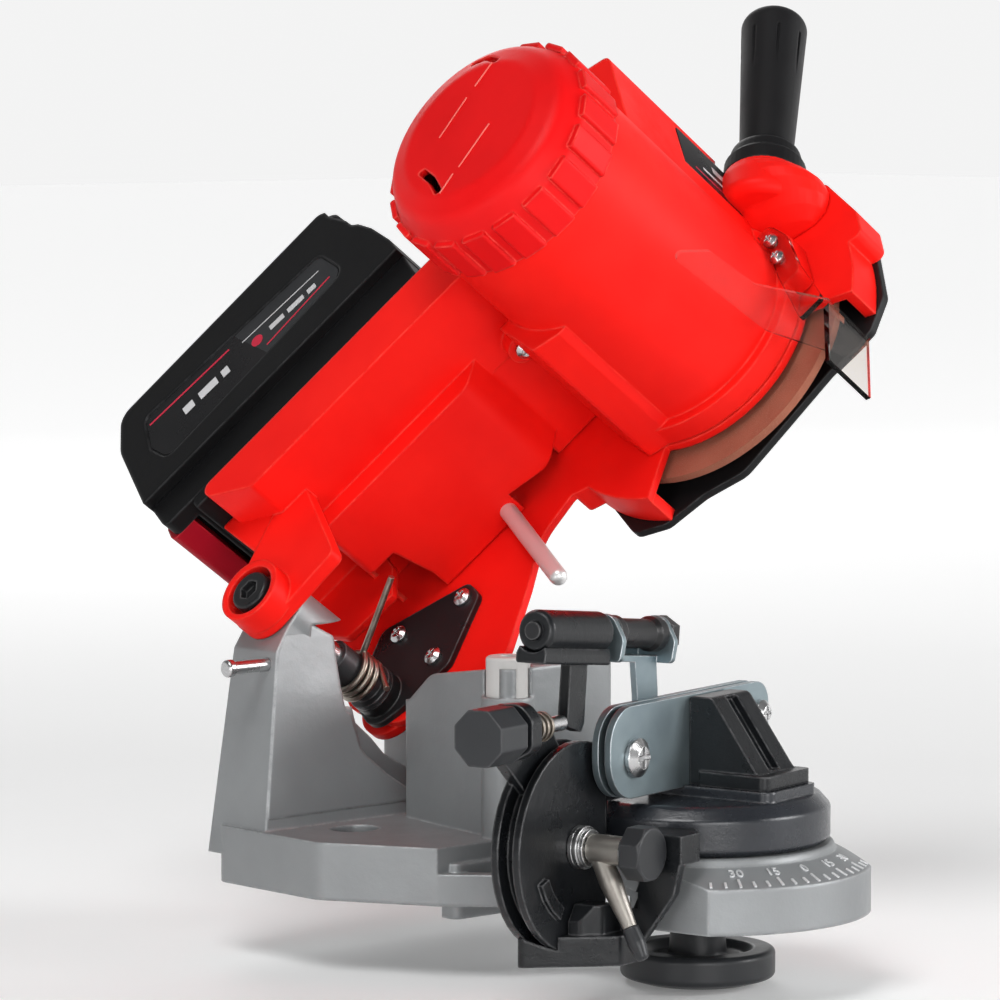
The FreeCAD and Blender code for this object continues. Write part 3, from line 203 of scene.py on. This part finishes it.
# each finish's edge colour is lighter than its faces: partly wear, partly painted edge highlight
finishLooks = {
    # red shells
    "redShell": {"colour": (0.90, 0.014, 0.009), "shade": (0.80, 0.008, 0.006), "rough": (0.38, 0.5),
                 "specular": 0.1, "fine": 1500, "depth": 0.00007, "strength": 0.3, "round": 0.0016,
                 "edge": (0.95, 0.06, 0.04)},
    # darker copy of the red shell for the motor cap: painted shade
    "capShellPaintedShade": {"colour": (0.74, 0.006, 0.007), "shade": (0.64, 0.004, 0.005), "rough": (0.38, 0.5),
                 "specular": 0.12, "fine": 1500, "depth": 0.00007, "strength": 0.3, "round": 0.0016,
                 "edge": (0.92, 0.08, 0.06)},
    # pale pink on the cap's moulded lines: painted highlight
    "capLineHighlight": {"colour": (0.9, 0.22, 0.18), "shade": (0.8, 0.15, 0.12), "rough": (0.35, 0.45),
                "fine": 1200, "depth": 0.00001, "round": 0.0001},
    "buttonRed": {"colour": (0.40, 0.004, 0.018), "shade": (0.32, 0.003, 0.012), "rough": (0.32, 0.44),
                  "specular": 0.2, "fine": 1600, "round": 0.001, "edge": (0.6, 0.03, 0.04)},
    # castings
    "castBase": {"colour": (0.30, 0.312, 0.318), "shade": (0.25, 0.26, 0.266), "rough": (0.38, 0.5),
                 "metallic": 0.4, "specular": 0.35, "fine": 1300, "depth": 0.0001, "strength": 0.3,
                 "cast": 260, "castDepth": 0.00022, "round": 0.0018, "edge": (0.5, 0.51, 0.52),
                 "edgeWidth": 0.0014},
    "castBright": {"colour": (0.80, 0.81, 0.82), "shade": (0.66, 0.67, 0.68), "rough": (0.3, 0.42),
                   "metallic": 0.4, "fine": 1300, "round": 0.0003},
    "viseBlack": {"colour": (0.006, 0.007, 0.008), "shade": (0.010, 0.011, 0.013), "rough": (0.24, 0.36),
                  "metallic": 0.1, "specular": 0.38, "fine": 1300, "depth": 0.00014, "strength": 0.4,
                  "cast": 260, "castDepth": 0.00022, "round": 0.0013, "edge": (0.12, 0.12, 0.125)},
    # lighter, bluer copy of the vise black for the turntable: painted reflection
    "turnBlackReflection": {"colour": (0.015, 0.017, 0.021), "shade": (0.022, 0.025, 0.031), "rough": (0.2, 0.32),
                  "metallic": 0.1, "specular": 0.6, "fine": 1300, "depth": 0.00012, "strength": 0.4,
                  "cast": 260, "castDepth": 0.0002, "round": 0.0013, "edge": (0.12, 0.12, 0.125)},
    # turned, plated and blackened steel
    "steelBright": {"colour": (0.62, 0.62, 0.62), "shade": (0.5, 0.5, 0.51), "rough": (0.2, 0.34),
                    "metallic": 1.0, "fine": 800, "stretch": (1, 1, 8), "depth": 0.00004, "round": 0.0005,
                    "edge": (0.8, 0.8, 0.8), "edgeWidth": 0.0005},
    # paler, less metallic copy of bright steel for the stop pin: painted highlight
    "pinSteelHighlight": {"colour": (0.78, 0.78, 0.77), "shade": (0.66, 0.66, 0.66), "rough": (0.3, 0.4),
                  "metallic": 0.55, "fine": 800, "stretch": (1, 1, 8), "depth": 0.00004, "round": 0.0005},
    "leverSteel": {"colour": (0.36, 0.34, 0.31), "shade": (0.24, 0.22, 0.2), "rough": (0.34, 0.48),
                   "metallic": 0.9, "fine": 700, "stretch": (1, 8, 1), "depth": 0.00006, "round": 0.0005},
    "springSteel": {"colour": (0.46, 0.42, 0.37), "shade": (0.30, 0.25, 0.2), "rough": (0.28, 0.44),
                    "metallic": 1.0, "broad": 150, "round": 0.0003},
    "bushGrey": {"colour": (0.05, 0.05, 0.053), "shade": (0.075, 0.075, 0.08), "rough": (0.3, 0.42),
                 "metallic": 0.6, "stretch": (1, 12, 12), "round": 0.0007, "edge": (0.3, 0.3, 0.31)},
    "zincPlate": {"colour": (0.27, 0.33, 0.35), "shade": (0.20, 0.25, 0.275), "rough": (0.36, 0.48),
                  "metallic": 0.85, "fine": 500, "stretch": (10, 10, 1), "depth": 0.00003, "round": 0.0006,
                  "broad": 40, "edge": (0.78, 0.8, 0.82), "edgeWidth": 0.0006},
    "steelBlack": {"colour": (0.014, 0.014, 0.015), "shade": (0.024, 0.024, 0.026), "rough": (0.26, 0.4),
                   "metallic": 0.2, "specular": 0.35, "fine": 1400, "round": 0.0007,
                   "edge": (0.12, 0.12, 0.12)},
    "steelDark": {"colour": (0.14, 0.14, 0.15), "shade": (0.09, 0.09, 0.1), "rough": (0.35, 0.5),
                  "metallic": 1.0, "stretch": (1, 1, 12)},
    # black plastic and rubber
    "coverBlack": {"colour": (0.006, 0.006, 0.0065), "shade": (0.009, 0.009, 0.010), "rough": (0.4, 0.55),
                   "specular": 0.2, "fine": 1600, "depth": 0.0001, "round": 0.001,
                   "edge": (0.05, 0.05, 0.052)},
    "gripBlack": {"colour": (0.004, 0.004, 0.0045), "shade": (0.006, 0.006, 0.007), "rough": (0.45, 0.6),
                  "specular": 0.2, "fine": 2200, "depth": 0.00012, "round": 0.0012, "sheen": 0.06},
    "rockerBlack": {"colour": (0.010, 0.010, 0.011), "shade": (0.014, 0.014, 0.016), "rough": (0.2, 0.3),
                    "specular": 0.4, "fine": 1800},
    "batteryBlack": {"colour": (0.004, 0.004, 0.0045), "shade": (0.006, 0.006, 0.0065),
                     "rough": (0.38, 0.52), "specular": 0.2, "fine": 2000, "depth": 0.00012, "round": 0.0018,
                     "edge": (0.03, 0.03, 0.032)},
    "knobBlack": {"colour": (0.016, 0.017, 0.019), "shade": (0.024, 0.026, 0.029), "rough": (0.32, 0.46),
                  "specular": 0.4, "fine": 1700, "round": 0.001, "edge": (0.09, 0.09, 0.095)},
    # rest boss, grinding wheel and its paper discs
    "restBoss": {"colour": (0.60, 0.59, 0.57), "shade": (0.52, 0.51, 0.5), "rough": (0.4, 0.55),
                 "edge": (0.8, 0.8, 0.79)},
    "abrasive": {"colour": (0.27, 0.085, 0.05), "shade": (0.34, 0.115, 0.07), "rough": (0.75, 0.9),
                 "specular": 0.2, "fine": 2600, "depth": 0.0004, "strength": 0.8, "fleck": (0.34, 0.15, 0.1),
                 "fleckScale": 3200, "broad": 60, "round": 0.0004},
    "paperDisc": {"colour": (0.32, 0.26, 0.2), "shade": (0.26, 0.2, 0.15), "rough": (0.7, 0.85),
                  "fine": 1800, "depth": 0.0001, "round": 0.0001},
    # label plates and what is printed on them
    "labelBlack": {"colour": (0.009, 0.009, 0.010), "shade": (0.013, 0.012, 0.013), "rough": (0.24, 0.34),
                   "specular": 0.3, "depth": 0.00002, "round": 0.0003},
    "labelGrey": {"colour": (0.020, 0.021, 0.023), "shade": (0.028, 0.029, 0.031), "rough": (0.28, 0.4),
                  "specular": 0.3, "fine": 2600, "depth": 0.00002, "round": 0.0001},
    "printRed": {"colour": (0.62, 0.02, 0.06), "shade": (0.5, 0.012, 0.04), "rough": (0.35, 0.45),
                 "fine": 1200, "depth": 0.00001, "round": 0.0001},
    "printPale": {"colour": (0.62, 0.62, 0.63), "shade": (0.52, 0.52, 0.53), "rough": (0.35, 0.45),
                  "fine": 1200, "depth": 0.00001, "round": 0.0001},
}
finishes = {name: newFinish(name, look) for name, look in finishLooks.items()}

# clear sheet of the chip shield, with faint haze and scratches along it
shieldLook = {"clear": 1.0, "ior": 1.22, "specular": 0.3, "tint": (0.90, 0.86, 0.82),
              "shade": (0.84, 0.78, 0.73), "haze": 45, "hazeGrain": (4, 0.6), "hazeSpan": (0.4, 0.75),
              "rough": (0.01, 0.05), "scratches": 350, "scratchGrain": (3, 0.6), "stretch": (1, 14, 1),
              "depth": 0.00003, "strength": 0.2}


def clearFinish(name):
    material = bpy.data.materials.new(name)
    material.use_nodes = True
    tree = material.node_tree
    shader = tree.nodes["Principled BSDF"]
    coords = tree.nodes.new("ShaderNodeTexCoord").outputs["Object"]
    shader.inputs["Transmission Weight"].default_value = shieldLook["clear"]
    shader.inputs["IOR"].default_value = shieldLook["ior"]
    shader.inputs["Specular IOR Level"].default_value = shieldLook["specular"]
    haze = noiseNode(tree, coords, shieldLook["haze"], shieldLook["hazeGrain"])
    link(tree, mapped(tree, haze, shieldLook["hazeSpan"], shieldLook["rough"]), shader.inputs["Roughness"])
    tint = mixColour(tree, mapped(tree, haze, noiseSpan), shieldLook["tint"], shieldLook["shade"])
    link(tree, tint, shader.inputs["Base Color"])
    scratches = noiseNode(tree, coords, shieldLook["scratches"], shieldLook["scratchGrain"],
                          shieldLook["stretch"])
    relief = bumpNode(tree, scratches, shieldLook["depth"], shieldLook["strength"])
    link(tree, relief, shader.inputs["Normal"])
    return material


finishes["clearShield"] = clearFinish("clearShield")

# nodes that don't wear the finish of their own slot
finishOfNode = {
    "battery_button": "buttonRed", "motor_cap": "capShellPaintedShade", "shield_bracket": "clearShield",
    "hinge_bracket": "steelBlack", "pivot_bolt": "steelBlack", "stop_bolt": "steelBlack",
    "stop_bushing": "steelBlack", "bracket_screws": "steelBright", "housing_screws": "steelBright",
    "stop_pin": "pinSteelHighlight", "clamp_lever": "leverSteel", "vise_turntable": "turnBlackReflection",
    "stop_pawl": "viseBlack", "stop_sleeve": "viseBlack",
}
for entry in frame["record"]["subparts"]:
    wanted = finishOfNode.get(entry["node"], entry["material_slot"])
    mesh = nodes[entry["node"]].data
    mesh.materials.clear()
    mesh.materials.append(finishes[wanted])
print("finishes on", len(nodes), "nodes")


# piece helpers
def newPiece(name, shape, place, finish, body):
    # place takes the drawn millimetres to the frame's metres
    bmesh.ops.recalc_face_normals(shape, faces=shape.faces[:])
    mesh = bpy.data.meshes.new(name)
    shape.to_mesh(mesh)
    shape.free()
    mesh.transform(place)
    mesh.materials.append(finishes[finish])
    piece = bpy.data.objects.new(name, mesh)
    bpy.context.scene.collection.objects.link(piece)
    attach(piece, body)


def addPlate(shape, corners, low, high, warp=None):
    # flat plate of an outline in x and y, from low to high in z
    lower = [shape.verts.new((x, y, low)) for x, y in corners]
    upper = [shape.verts.new((x, y, high)) for x, y in corners]
    shape.faces.new(lower[::-1])
    shape.faces.new(upper)
    for i in range(len(corners)):
        j = (i + 1) % len(corners)
        shape.faces.new((lower[i], lower[j], upper[j], upper[i]))
    if warp:
        for vert in lower + upper:
            vert.co = warp(vert.co)


def platesShape(outlines, low, high, warp=None):
    shape = bmesh.new()
    for outline in outlines:
        addPlate(shape, outline, low, high, warp)
    return shape


def addRings(shape, loops, closed):
    # skin over rings of points, joined into a hoop when closed and capped at both ends when not
    rings = [[shape.verts.new(spot) for spot in loop] for loop in loops]
    for i in range(len(rings) if closed else len(rings) - 1):
        here, there = rings[i], rings[(i + 1) % len(rings)]
        for k in range(len(here)):
            j = (k + 1) % len(here)
            shape.faces.new((here[k], here[j], there[j], there[k]))
    if not closed:
        shape.faces.new(rings[0])
        shape.faces.new(rings[-1][::-1])


def rounded(corners, steps=4, smallTurn=0.01):
    # outline of (x, y, radius) corners with each corner drawn as an arc
    points = []
    for i, (x, y, radius) in enumerate(corners):
        if radius <= 0:
            points.append((x, y))
            continue
        here = Vector((x, y))
        before = (Vector(corners[i - 1][:2]) - here).normalized()
        after = (Vector(corners[(i + 1) % len(corners)][:2]) - here).normalized()
        half = before.angle(after) / 2
        centre = here + (before + after).normalized() * radius / math.sin(half)
        start = here + before * radius / math.tan(half) - centre
        stop = here + after * radius / math.tan(half) - centre
        for k in range(steps + 1):
            spot = start.slerp(stop, k / steps) if start.angle(stop) > smallTurn else start
            points.append(tuple(centre + spot.normalized() * radius))
    return points


def bar(x0, y0, x1, y1, width):
    # four corners of a straight stroke between two points
    side = Vector((x1 - x0, y1 - y0)).normalized() * width / 2
    return [(x0 - side.y, y0 + side.x), (x0 + side.y, y0 - side.x),
            (x1 + side.y, y1 - side.x), (x1 - side.y, y1 + side.x)]


def disc(x, y, radius, count=28):
    turns = [2 * math.pi * i / count for i in range(count)]
    return [(x + radius * math.cos(turn), y + radius * math.sin(turn)) for turn in turns]


def addDigits(shape, text, size, height, warp):
    # raised numerals centred on the origin, then laid on a surface by warp
    curve = bpy.data.curves.new("digits", "FONT")
    curve.body = text
    curve.size = size
    curve.align_x = "CENTER"
    curve.align_y = "CENTER"
    curve.extrude = height / 2
    curve.resolution_u = 3
    holder = bpy.data.objects.new("digits", curve)
    mesh = bpy.data.meshes.new_from_object(holder)
    first = len(shape.verts)
    shape.from_mesh(mesh)
    shape.verts.ensure_lookup_table()
    for vert in shape.verts[first:]:
        vert.co = warp(vert.co)
    bpy.data.objects.remove(holder)
    bpy.data.meshes.remove(mesh)


def onEdge(spot):
    # stands a flat outline up: its second way becomes height
    return Vector((spot.x, spot.z, spot.y))


# angle scale cast on the nose, whose cone starts at innerRadius and falls along slope
scaleLook = {"innerRadius": 47, "topHeight": 21, "slope": (0.9034, 0.4291), "middle": 53, "tickEvery": 5,
             "tickLast": 40, "longEvery": 15, "tickOuter": 12.0, "tickShort": 9.0, "tickLong": 7.4,
             "tickWidth": 0.8, "root": 0.15, "rise": 0.4, "numberAt": 4.1, "numberSize": 5.6,
             "numbers": {-30: "30", -15: "15", 0: "0", 15: "15", 30: "30"}}


def scaleWarp(turn):
    # x along the arc, y up the cone, z off its surface, centred at an angle from the nose's front
    along, fall = scaleLook["slope"]

    def warp(spot):
        down = scaleLook["numberAt"] - spot.y
        radius = scaleLook["innerRadius"] + along * down + fall * spot.z
        height = scaleLook["topHeight"] - fall * down + along * spot.z
        angle = math.radians(turn) + spot.x / scaleLook["middle"]
        return Vector((radius * math.sin(angle), -radius * math.cos(angle), height))
    return warp


scaleShape = bmesh.new()
for turn in range(-scaleLook["tickLast"], scaleLook["tickLast"] + 1, scaleLook["tickEvery"]):
    inner = scaleLook["tickShort"] if turn % scaleLook["longEvery"] else scaleLook["tickLong"]
    top = scaleLook["numberAt"] - inner
    bottom = scaleLook["numberAt"] - scaleLook["tickOuter"]
    tick = bar(0, bottom, 0, top, scaleLook["tickWidth"])
    addPlate(scaleShape, tick, -scaleLook["root"], scaleLook["rise"], scaleWarp(turn))
for turn, text in scaleLook["numbers"].items():
    addDigits(scaleShape, text, scaleLook["numberSize"], scaleLook["rise"] * 2, scaleWarp(turn))
newPiece("scale_marks", scaleShape, baseMm, "castBright", "base")
print("angle scale set")

# battery label: plate, panel, lines, disc and plain bars; a line is two points and a width
labelLook = {"floor": 89.7, "gap": 0.01, "plate": 0.25, "print": 0.06,
             "outline": [(1.4, 92.4, 4.4), (5.5, 108.2, 3.4), (93.4, 102.3, 3.4), (97, 84.6, 4.4),
                         (4.8, 80.7, 4.4)],
             "panel": [(50.5, 105.1, 0.5), (93.4, 102.3, 3.4), (97, 84.6, 4.4), (57, 82.6, 0.5)],
             "redLines": [(5.5, 103.6, 46, 101.6, 0.9), (58.5, 86.2, 92, 88.4, 0.7)],
             "paleLines": [(51.5, 98.6, 90, 96.2, 0.5)],
             "bars": [(19, 93.8, 24, 93.7, 4.2), (27, 93.6, 36, 93.3, 4.2), (38.5, 93.2, 42, 93.1, 4.2),
                      (63, 92.3, 70, 92, 2.6), (72, 91.9, 80, 91.5, 2.6), (82, 91.4, 86, 91.2, 2.6)],
             "disc": (56.5, 92.6, 2.6)}
labelTop = labelLook["floor"] + labelLook["plate"]
labelShape = platesShape([rounded(labelLook["outline"])], labelLook["floor"] + labelLook["gap"], labelTop)
newPiece("label_plate", labelShape, headMm, "labelBlack", "battery")
redPrint = [bar(*line) for line in labelLook["redLines"]] + [disc(*labelLook["disc"])]
palePrint = [bar(*line) for line in labelLook["paleLines"] + labelLook["bars"]]
for name, finish, outlines, layer in (
        ("label_panel", "labelGrey", [rounded(labelLook["panel"])], 0),
        ("label_red", "printRed", redPrint, 1),
        ("label_pale", "printPale", palePrint, 1)):
    low = labelTop + layer * labelLook["print"]
    shape = platesShape(outlines, low, low + labelLook["print"])
    newPiece(name, shape, headMm, finish, "battery")

# dark plate on the slanted wall above the barrel
ridgeLook = {"foot": (212.2, 35.5), "along": (0.2916, 0.9565), "thick": 0.35, "gap": 0.01, "print": 0.06,
             "outline": [(5.6, 0.6, 1), (51.4, 0.6, 1), (51.4, 21, 1), (5.6, 21, 1)],
             "bars": [(12, 14.5, 20, 14.5, 3.2), (22, 14.5, 31, 14.5, 3.2), (14, 9, 38, 9, 1.4)],
             "redLines": [(9, 4.5, 44, 4.5, 0.8)]}
ridgeFoot = Vector((*ridgeLook["foot"], 0))
ridgeAlong = Vector((*ridgeLook["along"], 0))
ridgeOut = Vector((ridgeAlong.y, -ridgeAlong.x, 0))


def ridgeWarp(spot):
    # x along the motor axis, y up the wall, z off the wall
    return ridgeFoot + ridgeAlong * spot.y + ridgeOut * spot.z + Vector((0, 0, spot.x))


ridgeTop = ridgeLook["thick"]
ridgeRed = [bar(*line) for line in ridgeLook["redLines"]]
ridgePale = [bar(*line) for line in ridgeLook["bars"]]
for name, finish, outlines, low, high in (
        ("ridge_plate", "labelBlack", [rounded(ridgeLook["outline"])], ridgeLook["gap"], ridgeTop),
        ("ridge_red", "printRed", ridgeRed, ridgeTop, ridgeTop + ridgeLook["print"]),
        ("ridge_pale", "printPale", ridgePale, ridgeTop, ridgeTop + ridgeLook["print"])):
    newPiece(name, platesShape(outlines, low, high, ridgeWarp), headMm, finish, "head")
print("label plates set")

# thin moulded lines on the cap's face, coloured pale pink as a painted highlight, and paper discs on the
# wheel, both about the motor's axis
motorAxis = (170.4, 18)
capLook = {"face": 139, "root": 0.1, "rise": 0.25,
           "lines": [(20.5, 18.3, 10.8, 15.5, 0.5), (6.1, 14.2, -10.2, 8.6, 0.5),
                     (6.1, -7.1, -11.6, -12.6, 0.5), (-14.5, -13, -22.4, -15.7, 0.5)]}
capStrokes = [[(x + motorAxis[0], y + motorAxis[1]) for x, y in bar(*line)] for line in capLook["lines"]]
capShape = platesShape(capStrokes, capLook["face"] - capLook["root"], capLook["face"] + capLook["rise"])
newPiece("cap_lines", capShape, headMm, "capLineHighlight", "head")

blotterLook = {"inner": 17.3, "outer": 24, "gap": 0.005, "thick": 0.22, "sides": {-6.0: -1, -2.8: 1},
               "steps": 48}
blotterShape = bmesh.new()
for face, side in blotterLook["sides"].items():
    near = face + side * blotterLook["gap"]
    far = face + side * blotterLook["thick"]
    hoop = (("inner", near), ("outer", near), ("outer", far), ("inner", far))
    loops = [[(x, y, z) for x, y in disc(*motorAxis, blotterLook[edge], blotterLook["steps"])]
             for edge, z in hoop]
    addRings(blotterShape, loops, closed=True)
newPiece("wheel_blotters", blotterShape, headMm, "paperDisc", "spindle")
print("cap lines and wheel discs set")

# outer walls of the arm's foot block, between the ear, the box and the web
wallLook = {"earRoot": [(2.6, 50.4, 1), (7.4, 25.2, 1), (21, 33.2, 0), (24, 34, 0), (24, 50.4, 0)],
            "earSpan": (66.6, 71.9),
            "floor": [(2.8, 4, 1), (27, 4, 1), (27, 50, 0), (2.8, 50, 1)],
            "floorSpan": (47.2, 50.5),
            "wall": [(-2.5, 47.2, 1), (-2.5, 33, 6), (5, 20, 3), (28, 19, 2), (34, 31, 1), (34, 47.2, 0)],
            "wallSpan": (17, 20.2)}
wallShape = bmesh.new()
addPlate(wallShape, rounded(wallLook["earRoot"]), *wallLook["earSpan"])
addPlate(wallShape, rounded(wallLook["floor"]), *wallLook["floorSpan"], onEdge)
addPlate(wallShape, rounded(wallLook["wall"]), *wallLook["wallSpan"])
newPiece("arm_foot_walls", wallShape, headMm, "redShell", "head")

# full front cheek of the hinge tower, just proud of its drafted face, and the rib beside it
cheekLook = {"outline": [(-85.2, 24, 1), (-75.3, 81.3, 1), (-66.6, 94.1, 1), (-49.6, 85.4, 1.5),
                         (-48.9, 77, 6), (-47.8, 67, 10), (-46.2, 58.6, 2), (-43.8, 57.6, 2), (-40.4, 44, 8),
                         (-29.4, 35, 10), (-13, 24.4, 2)],
             "foot": (127.2, 20.4), "draft": 0.1037, "proud": 0.12, "back": 139.4,
             "rib": [(-47, 22, 0), (-47, 60.5, 0), (-43.4, 58.4, 1), (-30, 47.2, 2), (-24, 41, 3),
                     (-9.5, 33, 1), (-9.5, 22, 0)],
             "ribSpan": (136.6, 140.8)}


def cheekWarp(spot):
    # low side onto the drafted face, which leans back with height, high side onto the flat back
    footDepth, footHeight = cheekLook["foot"]
    face = footDepth + (spot.y - footHeight) * cheekLook["draft"] - cheekLook["proud"]
    return Vector((spot.x, cheekLook["back"] if spot.z else face, spot.y))


cheekShape = bmesh.new()
addPlate(cheekShape, rounded(cheekLook["outline"]), 0, 1, cheekWarp)
addPlate(cheekShape, rounded(cheekLook["rib"]), *cheekLook["ribSpan"], onEdge)
newPiece("tower_face", cheekShape, baseMm, "castBase", "base")

# black flange under the grip and the flared red dome below it, both about the handle's axis
gripLook = {"foot": (229.3, 52.7, 11), "lean": -33.4,
            # radius and height of each ring, outside then inside
            "flange": [(12.75, 6.9), (13.2, 5.4), (13.6, 2.6), (15.0, 0.8), (15.2, -5.2), (14.6, -6.2),
                       (12, -5.8), (12, 6.4)],
            "flangeSteps": 40,
            # radius, height, flare, pinch on the motor side, depth and how far the ring sinks
            "dome": [(15.0, -5.6, 0.0, 0.0, 1.0, 0.0), (15.6, -7.5, 0.45, 0.3, 1.0, 0.0),
                     (16.2, -10, 0.95, 0.7, 0.97, -0.2), (16.8, -13, 1.4, 1.0, 0.92, -0.6),
                     (17.1, -16.5, 1.6, 1.0, 0.84, -1.4), (16.8, -20.5, 1.65, 1.0, 0.72, -2.6),
                     (15.6, -24.5, 1.55, 1.0, 0.56, -4.2), (12.5, -28, 1.3, 0.8, 0.36, -5.8),
                     (6, -30.5, 0.6, 0.4, 0.15, -7.2)],
            "flareReach": 5.0, "pinchReach": 4.5, "flareTurn": -0.3, "guardFace": 3.05, "domeSteps": 48}
gripLean = Matrix.Rotation(math.radians(gripLook["lean"]), 4, "Z")
gripPlace = headMm @ Matrix.Translation(gripLook["foot"]) @ gripLean
flangeShape = bmesh.new()
loops = [[(x, height, y) for x, y in disc(0, 0, radius, gripLook["flangeSteps"])]
         for radius, height in gripLook["flange"]]
addRings(flangeShape, loops, closed=True)
newPiece("grip_flange", flangeShape, gripPlace, "coverBlack", "head")

flareWay = Vector((math.cos(gripLook["flareTurn"]), math.sin(gripLook["flareTurn"])))
guardDepth = gripLook["guardFace"] - gripLook["foot"][2]  # the dome goes no deeper than the guard's face


def domeRing(radius, height, flare, pinch, depth, sink):
    ring = []
    for x, y in disc(0, 0, 1, gripLook["domeSteps"]):
        spread = gripLook["flareReach"] * flare * max(0.0, x * flareWay.x + y * flareWay.y)
        reach = radius + spread - gripLook["pinchReach"] * pinch * max(0.0, -x)
        ring.append((x * reach, height, max(y * reach * depth + sink, guardDepth)))
    return ring


domeShape = bmesh.new()
addRings(domeShape, [domeRing(*ring) for ring in gripLook["dome"]], closed=False)
newPiece("grip_dome", domeShape, gripPlace, "redShell", "head")
print("walls, tower face and grip dome set")

# pale floor that glows more with distance, so that it meets the room without an edge
stageLook = {"height": -0.0262, "thick": 0.02, "reach": 9.0, "glowFrom": (0.5, 2.4), "glow": (0.12, 0.72)}
floorLook = {"colour": (0.88, 0.88, 0.88), "shade": (0.86, 0.86, 0.86), "rough": (0.6, 0.7), "specular": 0.1,
             "fine": 300, "depth": 0.0001, "strength": 0.1, "broad": 3, "round": 0.004}
floorFinish = newFinish("paleFloor", floorLook)
floorTree = floorFinish.node_tree
floorShader = floorTree.nodes["Principled BSDF"]
distance = floorTree.nodes.new("ShaderNodeVectorMath")
distance.operation = "LENGTH"
link(floorTree, floorTree.nodes.new("ShaderNodeTexCoord").outputs["Object"], distance.inputs[0])
floorGlow = mapped(floorTree, distance.outputs["Value"], stageLook["glowFrom"], stageLook["glow"])
floorShader.inputs["Emission Color"].default_value = (1, 1, 1, 1)
link(floorTree, floorGlow, floorShader.inputs["Emission Strength"])
reach = stageLook["reach"]
floorShape = platesShape([[(-reach, -reach), (reach, -reach), (reach, reach), (-reach, reach)]],
                         stageLook["height"] - stageLook["thick"], stageLook["height"])
floorMesh = bpy.data.meshes.new("studioFloor")
floorShape.to_mesh(floorMesh)
floorShape.free()
floorMesh.materials.append(floorFinish)
floor = bpy.data.objects.new("studioFloor", floorMesh)
bpy.context.scene.collection.objects.link(floor)

# soft studio lamps, all aimed at one spot in the object
lampAim = (0, -0.02, 0.12)
lampLooks = {
    "keyLamp": {"place": (1.3, -1.75, 0.75), "size": 0.9, "power": 30},
    "highLeftLamp": {"place": (-0.95, -0.45, 1.55), "size": 0.8, "power": 16},
    "backLamp": {"place": (0.9, 1.5, 1.2), "size": 0.9, "power": 9},
    "cameraLamp": {"place": (-0.85, -1.75, 0.2), "size": 1.0, "power": 18},
    "stripLamp": {"place": (-1.5, -0.45, 0.12), "size": 0.3, "power": 2.2},
}
for name, look in lampLooks.items():
    lampData = bpy.data.lights.new(name, "AREA")
    lampData.shape = "SQUARE"
    lampData.size = look["size"]
    lampData.energy = look["power"]
    lamp = bpy.data.objects.new(name, lampData)
    lamp.location = look["place"]
    lamp.rotation_mode = "QUATERNION"
    lamp.rotation_quaternion = (Vector(lampAim) - Vector(look["place"])).to_track_quat("-Z", "Y")
    bpy.context.scene.collection.objects.link(lamp)

# pale room, brighter near the horizon than overhead, and dimmer on the side the camera looks from
roomLook = {"heightSpan": (0.16, 0.5), "levels": (0.9, 0.22), "facingSpan": (-0.1, 0.55),
            "facingLevels": (0.42, 1.0)}
room = bpy.data.worlds.new("paleRoom")
room.use_nodes = True
roomTree = room.node_tree
roomWay = roomTree.nodes.new("ShaderNodeTexCoord").outputs["Generated"]
roomSplit = roomTree.nodes.new("ShaderNodeSeparateXYZ")
link(roomTree, roomWay, roomSplit.inputs["Vector"])
roomLevel = mapped(roomTree, roomSplit.outputs["Z"], roomLook["heightSpan"], roomLook["levels"])
facing = dotNode(roomTree, roomWay)
facing.inputs[1].default_value = (*cameraLook["along"][:2], 0)
facingLevel = mapped(roomTree, facing.outputs["Value"], roomLook["facingSpan"], roomLook["facingLevels"])
background = roomTree.nodes["Background"]
background.inputs["Color"].default_value = (1, 1, 1, 1)
link(roomTree, product(roomTree, roomLevel, facingLevel), background.inputs["Strength"])
bpy.context.scene.world = room
print("stage and lamps set")
